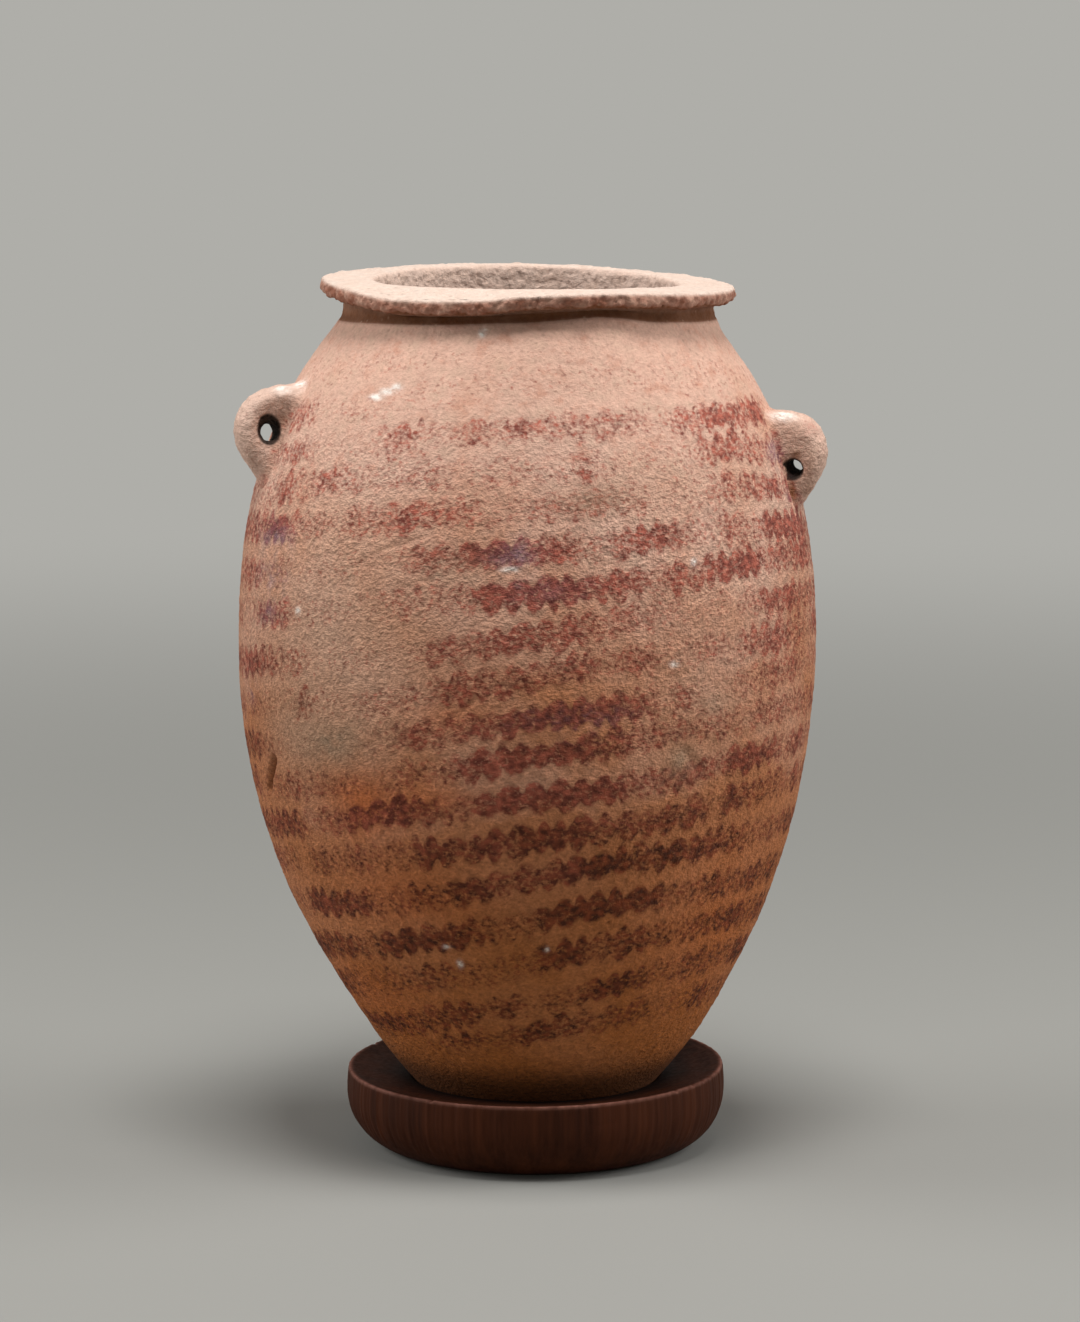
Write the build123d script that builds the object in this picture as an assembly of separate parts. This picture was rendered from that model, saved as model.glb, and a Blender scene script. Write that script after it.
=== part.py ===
from build123d import *
from math import acos, atan2, cos, degrees, hypot, radians, sin, tan
import os

# A hand-built earthenware jar with two pierced lugs, loose in a turned wooden ring.
# Millimetres and degrees. The ring's foot is on z = 0, +Z is up, and the jar's front faces -Y.
# Sections are drawn as (radius, height). The jar's heights are above its own underside.

# Jar wall, outside
belly_radius = 90.0
belly_height = 153.0
base_curve_radius = 52.0
neck_radius = 58.0
neck_height = 255.0
shoulder_slope = 33.0        # from upright, where the shoulder meets the neck
shoulder_fullness = 17.0     # length over which the shoulder keeps that slope
belly_fullness = 63.0        # length over which the wall above the belly stays near upright

# Jar wall, thickness
wall = 7.0
base_thickness = 10.0

# Rim
rim_width = 11.5             # from the neck's outside to the mouth
neck_groove_height = 7.0
lip_overhang = 5.5
lip_thickness = 5.0
lip_rounding = 2.0

# Courses of clay that the wall is built up from, and their bevelled joints
wall_courses = ["lower_wall", "belly_wall", "upper_wall", "shoulder_wall"]
base_course_height = 36.0
rim_joint_drop = 7.0         # of the topmost joint below the neck
joint_bevel = 35.0           # rise of a joint towards the inside

# Lugs
nose_radius = 10.0
lug_tail = 18.0              # from the middle of the nose down to the lug's lower end
lug_width = 16.0             # along the bore
lug_rounding = 5.0
bore_radius = 2.5
bore_mouth_radius = 3.2
bore_mouth_depth = 2.5
bore_stand_off = 4.0         # of the bore's axis, straight out from the wall
left_lug_turn = 192.0        # about the jar's axis, from +X
left_lug_drop = 33.5         # of the middle of the nose below the neck
left_lug_reach = 14.0        # of the nose out from the wall
left_bore_drop = 1.6         # of the bore below the middle of the nose
left_bore_tilt = 8.0
right_lug_turn = -9.5
right_lug_drop = 40.5
right_lug_reach = 13.0
right_bore_drop = 4.4
right_bore_tilt = -3.0

# Ring stand
stand_radius = 59.2
stand_belt_height = 17.0     # of the widest line
stand_height = 24.0
stand_edge_radius = 58.7
stand_foot_radius = 46.0
seat_radius = 37.3           # of the circle on the jar that rests in the seat
seat_depth = 4.4             # of the middle of the seat below the stand's upper edge
seat_width = 5.0
seat_gap = 0.3

mouth_radius = neck_radius - rim_width
lip_radius = neck_radius + lip_overhang
lip_underside = neck_height + neck_groove_height
jar_height = lip_underside + lip_thickness


def wall_curve(belly, bottom, cap, neck):
    """Edges from the axis at height bottom, round the base and over the belly, to the neck point."""
    rise = belly_height - bottom - cap
    flank = (belly**2 + rise**2 - cap**2) / (2 * (belly - cap))
    meet = degrees(atan2(rise, flank - belly))
    slope = radians(shoulder_slope)
    neck_handle = Vector(*neck) + Vector(sin(slope), -cos(slope)) * shoulder_fullness
    return [
        CenterArc((0, bottom + cap), cap, -90, 90 - meet),
        CenterArc((belly - flank, belly_height), flank, -meet, meet),
        Bezier((belly, belly_height), (belly, belly_height + belly_fullness), neck_handle, neck),
    ]


outside = wall_curve(belly_radius, 0, base_curve_radius, (neck_radius, neck_height))
inside = wall_curve(
    belly_radius - wall, base_thickness, base_curve_radius - wall, (mouth_radius, neck_height)
)
rim = FilletPolyline(
    (neck_radius, neck_height),
    (neck_radius, lip_underside),
    (lip_radius, lip_underside),
    (lip_radius, jar_height),
    (mouth_radius, jar_height),
    (mouth_radius, neck_height),
    radius=min(lip_rounding, 0.45 * lip_thickness, 0.45 * lip_overhang),
)
jar_section = make_face(outside + rim.edges() + inside + [Line((0, 0), (0, base_thickness))])
filled_section = make_face(
    outside + [Line((neck_radius, neck_height), (0, neck_height)), Line((0, neck_height), (0, 0))]
)


def turned(section):
    """Solid made by turning a section about the jar's axis."""
    return revolve(Plane.XZ * section, Axis.Z)


def outside_radius(height):
    """Radius of the wall's outside at a height."""
    level = Line((0, height), (2 * belly_radius, height))
    return max(point.X for point in (filled_section & level).vertices())


def under_joint(height):
    """Region below the bevelled joint that shows at this height on the outside."""
    reach = 2 * belly_radius
    bevel = tan(radians(joint_bevel))
    radius = outside_radius(height)
    return make_face(
        Polyline(
            (0, height + radius * bevel),
            (reach, height + (radius - reach) * bevel),
            (reach, -reach),
            (0, -reach),
            close=True,
        )
    )


def straight_out(point):
    """Direction straight out of the wall at a point of its outside."""
    edge = min(outside, key=lambda edge: edge.distance_to(Vertex(point)))
    along = edge.tangent_at(edge.param_at_point(point))
    return Vector(along.Y, -along.X)


def bore_place(height, tilt):
    """Place of a bore in a lug that faces +X: its Z axis along the bore, its X axis straight out from the wall."""
    out = straight_out(Vector(outside_radius(height), height))
    axis_radius = outside_radius(height) + bore_stand_off / out.X
    lean = degrees(atan2(out.Y, out.X))
    return Pos(axis_radius, 0, height) * Rot(Y=-lean) * Rot(X=tilt - 90)


def lug(nose_height, reach, bore):
    """Ear of clay that faces +X, pierced along the wall, its root cut to the wall's outside."""
    nose = Vector(outside_radius(nose_height) + reach - nose_radius, nose_height)
    tail = Vector(outside_radius(nose_height - lug_tail), nose_height - lug_tail)
    down = tail - nose
    tangent = degrees(atan2(down.Y, down.X) + acos(nose_radius / hypot(down.X, down.Y)))
    nose_arc = CenterArc(nose, nose_radius, tangent, 90 - tangent)
    top = nose_height + nose_radius
    root_top = Vector(outside_radius(top) - wall / 2, top)
    root_tail = tail - Vector(wall / 2, 0)
    outline = make_face([nose_arc, Polyline(nose_arc @ 1, root_top, root_tail, tail, nose_arc @ 0)])
    ear = extrude(Plane.XZ * outline, lug_width / 2, both=True)
    shown = ear.edges().filter_by(
        lambda edge: edge.geom_type == GeomType.CIRCLE
        or (abs(edge.tangent_at(0).Y) < 0.5 and (edge @ 0.5).X > outside_radius((edge @ 0.5).Z))
    )
    ear = fillet(shown, min(lug_rounding, 0.45 * lug_width))
    flare = (bore_mouth_radius - bore_radius) / bore_mouth_depth
    mouth = Cone(
        bore_radius,
        bore_radius + 2 * bore_mouth_depth * flare,
        2 * bore_mouth_depth,
        align=(Align.CENTER, Align.CENTER, Align.MIN),
    )
    mouth_start = lug_width / 2 - bore_mouth_depth
    hole = Cylinder(bore_radius, 2 * lug_width)
    hole += Pos(0, 0, mouth_start) * mouth
    hole += Pos(0, 0, -mouth_start) * Rot(X=180) * mouth
    return ear - bore * hole - turned(filled_section)


# Jar, with its underside at z = 0
joint_count = len(wall_courses)
joint_step = (neck_height - rim_joint_drop - base_course_height) / joint_count
regions = [under_joint(base_course_height + i * joint_step) for i in range(joint_count + 1)]
jar = {"base_cup": turned(jar_section & regions[0])}
for name, lower, upper in zip(wall_courses, regions, regions[1:]):
    jar[name] = turned((jar_section & upper) - lower)
jar["rim_collar"] = turned(jar_section - regions[-1])
left_nose = neck_height - left_lug_drop
right_nose = neck_height - right_lug_drop
left_bore = bore_place(left_nose - left_bore_drop, left_bore_tilt)
right_bore = bore_place(right_nose - right_bore_drop, right_bore_tilt)
jar["left_lug"] = Rot(Z=left_lug_turn) * lug(left_nose, left_lug_reach, left_bore)
jar["right_lug"] = Rot(Z=right_lug_turn) * lug(right_nose, right_lug_reach, right_bore)

# Ring stand, its seat a cone that follows the jar's base with a gap
upright = Line((seat_radius, 0), (seat_radius, belly_height))
touch = next(hit for edge in outside[:2] for hit in [edge & upright] if hit).vertex()
outward = straight_out(touch.center())
along = Vector(-outward.Y, outward.X)
seat = Vector(seat_radius + seat_gap * outward.X, stand_height - seat_depth)
seat_top = seat + along * (seat_width / 2)
seat_bottom = seat - along * (seat_width / 2)
ring_section = make_face(
    [
        TangentArc((stand_radius, stand_belt_height), (stand_foot_radius, 0), tangent=(0, -1)),
        TangentArc((stand_radius, stand_belt_height), (stand_edge_radius, stand_height), tangent=(0, 1)),
        Polyline(
            (stand_edge_radius, stand_height),
            seat_top,
            seat_bottom,
            (seat_bottom.X, 0),
            (stand_foot_radius, 0),
        ),
    ]
)
jar_rise = seat.Y - touch.Y - seat_gap * outward.Y

os.makedirs("parts", exist_ok=True)
export_step(turned(ring_section), "parts/ring_stand.step")
for name, piece in jar.items():
    export_step(Pos(0, 0, jar_rise) * piece, f"parts/{name}.step")
print(f"jar underside at z = {jar_rise:.3f}, rim at z = {jar_rise + jar_height:.3f}")
bores = {"left": Rot(Z=left_lug_turn) * left_bore, "right": Rot(Z=right_lug_turn) * right_bore}
for name, place in bores.items():
    middle = place.position + Vector(0, 0, jar_rise)
    print(name, "bore: middle", tuple(middle), "axis", tuple(Plane(place).z_dir))
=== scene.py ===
from math import atan2, cos, degrees, pi, radians, sin, tan
import bpy
import numpy as np
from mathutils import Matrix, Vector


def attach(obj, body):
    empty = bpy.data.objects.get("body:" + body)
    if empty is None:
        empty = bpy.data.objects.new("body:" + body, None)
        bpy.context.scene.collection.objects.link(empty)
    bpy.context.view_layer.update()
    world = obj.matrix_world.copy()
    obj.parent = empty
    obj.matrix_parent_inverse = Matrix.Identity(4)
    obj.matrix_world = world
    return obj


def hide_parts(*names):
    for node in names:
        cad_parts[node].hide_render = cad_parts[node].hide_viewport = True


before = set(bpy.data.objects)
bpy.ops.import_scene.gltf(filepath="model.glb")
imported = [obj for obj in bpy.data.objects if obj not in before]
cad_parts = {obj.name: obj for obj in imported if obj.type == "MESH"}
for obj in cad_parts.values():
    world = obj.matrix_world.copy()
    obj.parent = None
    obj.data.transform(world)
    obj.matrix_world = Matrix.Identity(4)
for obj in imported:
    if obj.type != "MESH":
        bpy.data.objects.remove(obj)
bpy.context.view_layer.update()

# Turned wooden ring
# A low ring turned from a close-grained red-brown hardwood, stained dark, oiled and rubbed by handling.
# It stands loose on the shelf, and the dished top carries the round base of the jar.
MM = 0.001  # metres
RING_COLUMNS = 720
ring_foot = 46.0  # radius of the foot, mm
ring_belt = (59.2, 17.0)  # widest line: radius and height, mm
ring_edge = (58.7, 24.0)  # upper edge
ring_dish = (48.5, 22.5)  # hollow of the dished top
ring_seat_top = (39.26, 21.35)
ring_seat_foot = (35.77, 17.8)


def arc(middle, radius, start, end, count):
    """Points of an arc, as (radius, height), between two angles in degrees."""
    turn = np.radians(np.linspace(start, end, count))
    return np.column_stack([middle[0] + radius * np.cos(turn), middle[1] + radius * np.sin(turn)])


def smooth_through(points, count=24):
    """Smooth line through given points."""
    p = np.array([points[0], *points, points[-1]], float)
    t = np.linspace(0, 1, count, endpoint=False)[:, None]
    runs = []
    for a, b, c, d in zip(p, p[1:], p[2:], p[3:]):
        square = a - 2.5 * b + 2 * c - 0.5 * d
        cube = 1.5 * (b - c) + 0.5 * (d - a)
        runs.append(b + 0.5 * t * (c - a) + t**2 * square + t**3 * cube)
    return np.vstack([*runs, p[-1:]])


def spread(line, step):
    """Points at an even spacing along a line."""
    along = np.r_[0, np.hypot(*np.diff(line, axis=0).T).cumsum()]
    even = np.linspace(0, along[-1], max(2, round(along[-1] / step) + 1))
    return np.column_stack([np.interp(even, along, line[:, k]) for k in (0, 1)])


def row_quads(rows, columns):
    """Corners of the faces between each row of points and the next, all the way round."""
    here = np.arange(columns)
    after = np.roll(here, -1)
    low = np.array(rows[:-1])[:, None] * columns
    high = np.array(rows[1:])[:, None] * columns
    return np.stack([low + here, low + after, high + after, high + here], -1).reshape(-1, 4)


def make_piece(name, points, quads, triangles=()):
    """Smooth object from points in mm and the corners of its faces."""
    mesh = bpy.data.meshes.new(name)
    triangles = np.array(triangles, int).reshape(-1, 3)
    corners = np.r_[quads.ravel(), triangles.ravel()]
    starts = np.r_[np.arange(len(quads)) * 4, quads.size + np.arange(len(triangles)) * 3]
    mesh.vertices.add(len(points))
    mesh.vertices.foreach_set("co", (np.asarray(points) * MM).ravel())
    mesh.loops.add(len(corners))
    mesh.loops.foreach_set("vertex_index", corners)
    mesh.polygons.add(len(starts))
    mesh.polygons.foreach_set("loop_start", starts)
    mesh.update(calc_edges=True)
    mesh.shade_smooth()
    piece = bpy.data.objects.new(name, mesh)
    bpy.context.scene.collection.objects.link(piece)
    return piece


def points_round(radius, turns, height, lean=0.0):
    """Points at these radii, turns from the front and heights, moved sideways by the lean."""
    x, y = lean + radius * np.sin(turns), -radius * np.cos(turns)
    return np.stack(np.broadcast_arrays(x, y, height), -1).reshape(-1, 3)


def set_marks(piece, **marks):
    """Store amounts at the points of a piece under their names."""
    for name, amount in marks.items():
        layer = piece.data.attributes.new(name, "FLOAT", "POINT")
        at_points = np.broadcast_to(amount, len(piece.data.vertices))
        layer.data.foreach_set("value", at_points.astype(np.float32))


def linear(colour):
    """Linear colour from an sRGB hex value."""
    parts = [int(colour[i : i + 2], 16) / 255 for i in (1, 3, 5)]
    return tuple(c / 12.92 if c <= 0.04045 else ((c + 0.055) / 1.055) ** 2.4 for c in parts) + (1.0,)


def node(tree, kind, inputs=None, **settings):
    """Add a node with its settings. Inputs go by name or place, and a node stands for its first output."""
    new = tree.nodes.new(kind)
    for name, value in settings.items():
        setattr(new, name, value)
    for key, value in (inputs or {}).items():
        if isinstance(key, str):
            socket = next(s for s in new.inputs if s.enabled and s.name == key)
        else:
            socket = new.inputs[key]
        if isinstance(value, bpy.types.Node):
            value = next(s for s in value.outputs if s.enabled)
        if isinstance(value, bpy.types.NodeSocket):
            tree.links.new(value, socket)
        else:
            socket.default_value = value
    return new


def empty_tree(owner):
    """Node tree of a material or a world, with nothing in it yet."""
    owner.use_nodes = True
    owner.node_tree.nodes.clear()
    return owner.node_tree


# Close-grained hardwood under a dark stain: fine upright streaks on the side, flecks on the dished top,
# a soft sheen, painted shade in the seat, and a pale edge line, rubbed bare and partly a painted highlight.
streak_width = 1.6  # mm
streak_length = 30.0
figure_width = 9.0
scuff_width = 2.4
wood = bpy.data.materials.new("stained_turned_hardwood")
tree = empty_tree(wood)
place = node(tree, "ShaderNodeTexCoord").outputs["Object"]
streak_place = node(
    tree, "ShaderNodeMapping", {"Vector": place, "Scale": (1.0, 1.0, streak_width / streak_length)}
)
streaks = node(
    tree, "ShaderNodeTexNoise",
    {"Vector": streak_place, "Scale": 1 / (streak_width * MM), "Detail": 4.0, "Roughness": 0.62},
)
figure = node(
    tree, "ShaderNodeTexNoise",
    {"Vector": streak_place, "Scale": 1 / (figure_width * MM), "Detail": 2.0, "Distortion": 0.6},
)
grain = node(tree, "ShaderNodeMix", {"Factor": 0.6, "A": streaks, "B": figure})
stain = node(tree, "ShaderNodeMapRange", {"Value": grain, "From Min": 0.3, "From Max": 0.7})
# Pale line on the upper edge: stain rubbed off the wood, and partly a painted highlight.
rubbed = node(tree, "ShaderNodeAttribute", attribute_name="rubbed").outputs["Fac"]
scuff = node(tree, "ShaderNodeTexNoise", {"Vector": place, "Scale": 1 / (scuff_width * MM), "Detail": 3.0})
bare_amount = node(tree, "ShaderNodeMath", {0: scuff, 1: 1.7}, operation="MULTIPLY")
bare = node(tree, "ShaderNodeMath", {0: rubbed, 1: bare_amount}, operation="MULTIPLY")
# Painted shade: the seat is darkened round the jar's base, where the jar shades it.
dirt = node(tree, "ShaderNodeAttribute", attribute_name="dirt").outputs["Fac"]
body = linear("#2A130A")
for amount, colour in ((stain, "#4B2513"), (dirt, "#120705"), (bare, "#98685A")):
    body = node(tree, "ShaderNodeMix", {"Factor": amount, "A": body, "B": linear(colour)}, data_type="RGBA")
sheen = node(
    tree, "ShaderNodeMapRange",
    {"Value": streaks, "From Min": 0.3, "From Max": 0.7, "To Min": 0.78, "To Max": 0.60},
)
pores = node(tree, "ShaderNodeBump", {"Height": streaks, "Strength": 0.5, "Distance": 0.12 * MM})
surface = node(
    tree, "ShaderNodeBsdfPrincipled",
    {"Base Color": body, "Roughness": sheen, "Normal": pores, "Specular IOR Level": 0.08},
)
node(tree, "ShaderNodeOutputMaterial", {"Surface": surface})

side_radius = (ring_belt[0] - ring_foot) / 2 + ring_belt[1] ** 2 / (2 * (ring_belt[0] - ring_foot))
top_rise = ring_edge[1] - ring_belt[1]
top_radius = (ring_belt[0] - ring_edge[0]) / 2 + top_rise**2 / (2 * (ring_belt[0] - ring_edge[0]))
foot_angle = degrees(atan2(-ring_belt[1], ring_foot - ring_belt[0] + side_radius))
edge_angle = degrees(atan2(top_rise, ring_edge[0] - ring_belt[0] + top_radius))
side = np.vstack([
    arc((ring_belt[0] - side_radius, ring_belt[1]), side_radius, foot_angle, 0, 40),
    arc((ring_belt[0] - top_radius, ring_belt[1]), top_radius, 0, edge_angle * 0.93, 40)[1:],
])
edge_and_dish = smooth_through([
    side[-1], (ring_edge[0] - 0.05, 23.8), (ring_edge[0] - 0.4, 23.98), (ring_edge[0] - 1.0, 23.92),
    (ring_edge[0] - 2.6, 23.6), (52.5, 23.0), ring_dish, (43.5, 21.8), ring_seat_top,
])
ring_line = np.vstack([
    spread(side, 0.7),
    spread(edge_and_dish, 0.45)[1:],
    spread(np.array([ring_seat_top, ring_seat_foot]), 1.2)[1:],
    spread(np.array([ring_seat_foot, (ring_seat_foot[0], 0.0)]), 3.0)[1:],
    spread(np.array([(ring_seat_foot[0], 0.0), (ring_foot, 0.0)]), 3.0)[1:-1],
])
turns = np.linspace(-pi, pi, RING_COLUMNS, endpoint=False)
radius, height = ring_line[:, :1], ring_line[:, 1:]
waves_round = ((61, 0.3), (97, 2.1), (143, 4.0), (211, 1.2))
grain_wave = sum(0.05 * np.sin(count * turns + start) for count, start in waves_round)
on_side = np.clip((radius - 54.0) / 3.0, 0, 1)
shrink = 0.1 * (np.cos(2 * turns + 0.7) - 1)
# Drying has lifted the edge a little at the back, to the right.
warp_rise = 1.2  # mm
warp = warp_rise / 2 * (1 - np.cos(turns + radians(60)))
warp = warp * np.clip((height - 8) / 14, 0, 1) * np.clip((radius - 46) / 9, 0, 1)
# A chip in the front was once made good with a small let-in piece, whose joint still shows.
mend_turn, mend_half, mend_foot = radians(20), 4.3, 17.6
across = np.abs((turns - mend_turn) * ring_belt[0])
inside_mend = np.minimum(mend_half - across, height - mend_foot)
mend_joint = 0.22 * np.exp(-((inside_mend / 0.35) ** 2)) * (radius > 56.5)
# Nicks in the upper edge, each at degrees from the front and with its half width in mm.
nick_places = ((48, 0.5), (57, 0.7), (63, 0.45), (68, 0.8), (75, 0.6), (-33, 0.5), (-118, 0.8), (140, 0.6))
nick_depth = 0.7
nicks = sum(
    nick_depth * np.exp(-(((turns - radians(at)) * ring_edge[0] / wide) ** 2)) for at, wide in nick_places
)
edge_wear = np.exp(-(((radius - ring_edge[0] + 0.3) / 0.75) ** 2) - ((height - 23.9) / 0.6) ** 2)
ring_radius = radius + on_side * (shrink + grain_wave * np.clip(height / 4, 0, 1)) - mend_joint
ring_height = height + warp - edge_wear * nicks
ring_points = points_round(ring_radius, turns, ring_height)
ring_rows = [*range(len(ring_line)), 0]
ring = make_piece("wooden_ring", ring_points, row_quads(ring_rows, RING_COLUMNS))
wear_round = 0.75 + 0.25 * np.sin(3 * turns + 1.1) * np.sin(7 * turns)
# Painted shade darkens the seat near the jar's base.
in_seat = np.repeat(np.clip((50.0 - radius) / 9.0, 0, 1), RING_COLUMNS, 1)
set_marks(ring, rubbed=(edge_wear * wear_round).ravel(), dirt=in_seat.ravel())
ring.data.materials.append(wood)
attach(ring, "stand")
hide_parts("ring_stand")

# Jar wall, built up by hand in courses
# Coarse earthenware built from slabs and coils, luted together, beaten and smoothed by hand, then fired.
# The wall is drawn whole, roughened, and parted along the courses that the frame has.
JAR_COLUMNS = 900
jar_rise = 4.04  # of the underside above the shelf, mm
belly_radius = 90.0
belly_height = 157.04
base_radius = 52.0  # of the round base
wall = 7.0
neck = (58.0, 259.04)
neck_inside = (46.5, 259.04)
shoulder_slope = 33.0  # degrees from upright at the neck
shoulder_run = 17.0
belly_run = 63.0
base_thickness = 10.0
joint_heights = [40.04 + 53.0 * k for k in range(5)]
joint_rise = wall * tan(radians(35.0))


def wall_line(belly, bottom, cap, top):
    """Section of one face of the wall from the axis up to the neck."""
    rise = belly_height - bottom - cap
    flank = (belly**2 + rise**2 - cap**2) / (2 * (belly - cap))
    meet = degrees(atan2(rise, flank - belly))
    slope = radians(shoulder_slope)
    t = np.linspace(0, 1, 200)[1:, None]
    ends = [np.array(p) for p in ((belly, belly_height), (belly, belly_height + belly_run), top)]
    handle = ends[2] + shoulder_run * np.array([sin(slope), -cos(slope)])
    upper = (1 - t) ** 3 * ends[0] + 3 * (1 - t) ** 2 * t * ends[1]
    upper = upper + 3 * (1 - t) * t**2 * handle + t**3 * ends[2]
    lower = arc((0, bottom + cap), cap, -90, -meet, 120)
    return np.vstack([lower, arc((belly - flank, belly_height), flank, -meet, 0, 200)[1:], upper])


outside = wall_line(belly_radius, jar_rise, base_radius, neck)
inside = wall_line(belly_radius - wall, jar_rise + base_thickness, base_radius - wall, neck_inside)[::-1]
rim_line = smooth_through([
    neck, (57.5, 259.6), (57.1, 260.3), (56.8, 261.6), (56.6, 263.0), (56.8, 264.6), (57.4, 265.4),
    (58.8, 265.9), (60.8, 266.1), (62.4, 266.6), (63.2, 267.6), (63.35, 269.2), (63.1, 270.4),
    (62.2, 270.95), (60.0, 271.0), (55.0, 270.98), (50.0, 270.92), (48.0, 270.75), (47.0, 270.2),
    (46.6, 269.0), (46.5, 266.0), (46.5, 262.5), neck_inside,
], 12)
# Rows lie close together where they show, and wide apart under the jar and deep inside it.
hidden = outside[:, 0] < 33  # mm from the axis, over the ring's hole
seen_inside = inside[:, 1] > 225  # mm above the shelf
section = np.vstack([
    spread(outside[hidden], 3.0)[1:-1],
    spread(outside[~hidden], 0.7),
    spread(rim_line, 0.55)[1:-1],
    spread(inside[seen_inside], 2.4),
    spread(inside[~seen_inside], 3.6)[1:-1],
])
turns = np.linspace(-pi, pi, JAR_COLUMNS, endpoint=False)
rim_row = int(np.argmax(section[:, 1]))
is_outside = (np.arange(len(section)) <= rim_row)[:, None]
radius, height = section[:, :1], section[:, 1:]


def around(marks):
    """Amount at each turn from marks of (degrees from the front, amount), eased between them."""
    at, amount = np.array(sorted(marks), float).T
    at = np.r_[at - 360, at, at + 360]
    three_turns = np.linspace(-540, 540, 3 * JAR_COLUMNS, endpoint=False)
    run = np.interp(three_turns, at, np.tile(amount, 3))
    softly = np.hanning(31) / np.hanning(31).sum()
    return np.convolve(run, softly, "same")[JAR_COLUMNS : 2 * JAR_COLUMNS]


def ease(value, start, end):
    """Smooth step from 0 at start to 1 at end."""
    t = np.clip((value - start) / (end - start), 0, 1)
    return t * t * (3 - 2 * t)


# The jar leans to the left of its ring, and its neck and rim rise and dip as the hand left them.
lean = np.interp(height, [0, 40, 62, 82, 130, 200, 271], [0, 0, -1.0, -1.8, -2.8, -2.9, -2.4])
rim_rise = around([
    (-136, 0.0), (-90, 0.5), (-75, 0.2), (-62, -0.5), (-41, -2.4), (-26, -2.1), (-12, -1.5), (-3, -0.2),
    (11, 0.3), (24, 0.4), (33, 0.0), (45, -0.9), (60, -1.6), (75, -2.2), (90, -2.6), (120, -2.4),
    (139, -2.0), (165, -0.8), (180, -0.3),
])
crease_rise = around([
    (-90, -1.0), (-57, 0.6), (-29, 1.7), (-11, 2.7), (0, 3.1), (13, 4.0), (22, 4.6), (31, 3.6), (39, 2.2),
    (64, 0.5), (90, -0.8), (140, -0.4), (180, 0.0),
])
mouth_rise = around([
    (-90, 0.2), (-40, 0.5), (0, 0.8), (40, 0.2), (90, -1.9), (135, -0.7), (180, 0.7), (-135, 0.8),
])
to_rim = ease(height, 261.0, 265.6)
to_crease = ease(height, 240.0, 260.0)
to_mouth = np.where(height > 262, ease(radius, 60.5, 48.0), np.where(is_outside, 0.0, 1.0))
lip_rise = to_mouth * mouth_rise + (1 - to_mouth) * rim_rise
neck_rise = (1 - to_rim) * crease_rise + to_rim * lip_rise
lift = to_crease * np.where(is_outside | (height > 266), neck_rise, mouth_rise)
hand_round = (
    0.45 * np.sin(2 * turns + 0.6 + height / 60) + 0.35 * np.sin(3 * turns - height / 45)
    + 0.15 * np.sin(7 * turns + height / 20) - 0.75
) * ease(height, 30.0, 60.0)
lip_reach = around([(-90, 0.0), (0, 0.0), (30, 0.2), (60, 0.8), (90, 1.4), (135, 0.8), (180, 0.2)])
jar_radius = radius + hand_round * np.where(is_outside, 1.0, 0.6)
jar_radius = jar_radius + lip_reach * ease(height, 254.0, 261.0) * ease(radius, 50.0, 57.0)


def groove(start, end, width, depth):
    """Depth of a mark in the outside, or less than nought for a ridge, between two (turn, height)."""
    run = np.radians(end[0] - start[0]) * radius
    rise = end[1] - start[1]
    x, y = (turns - np.radians(start[0])) * radius, height - start[1]
    t = np.clip((x * run + y * rise) / (run**2 + rise**2), 0, 1)
    gap = np.hypot(x - t * run, y - t * rise)
    return np.where(is_outside, depth * np.exp(-((gap / width) ** 2)), 0)


slit = groove((-66.6, 118.5), (-61.4, 128.5), 1.15, 3.4)
scratches = (
    ((-36, 191.0), (-30, 196.5), 0.45, 0.3), ((-30, 196.5), (-21, 201.0), 0.5, 0.5),
    ((-30, 195.2), (-20, 200.0), 0.9, -0.15), ((-26, 186.0), (-18, 189.0), 0.5, 0.25),
    ((-12, 150.5), (-9, 155.0), 0.6, 0.35), ((33, 136.0), (36, 131.0), 2.0, 0.7),
)
jar_radius = jar_radius - slit - sum(groove(*scratch) for scratch in scratches)
jar_points = points_round(jar_radius, turns, height + lift, lean)
rows = len(section)
poles = np.array([[0, 0, jar_rise], [0, 0, jar_rise + base_thickness]])
here = np.arange(JAR_COLUMNS)
after = np.roll(here, -1)


def end_fans(count):
    """Corners of the faces that close the first and last of some rows on the two poles that follow them."""
    top, pole = (count - 1) * JAR_COLUMNS, count * JAR_COLUMNS
    first = np.column_stack([np.full(JAR_COLUMNS, pole), after, here])
    return np.vstack([first, np.column_stack([np.full(JAR_COLUMNS, pole + 1), top + here, top + after])])


jar = make_piece(
    "jar_whole", np.vstack([jar_points, poles]), row_quads(range(rows), JAR_COLUMNS), end_fans(rows)
)

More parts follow.
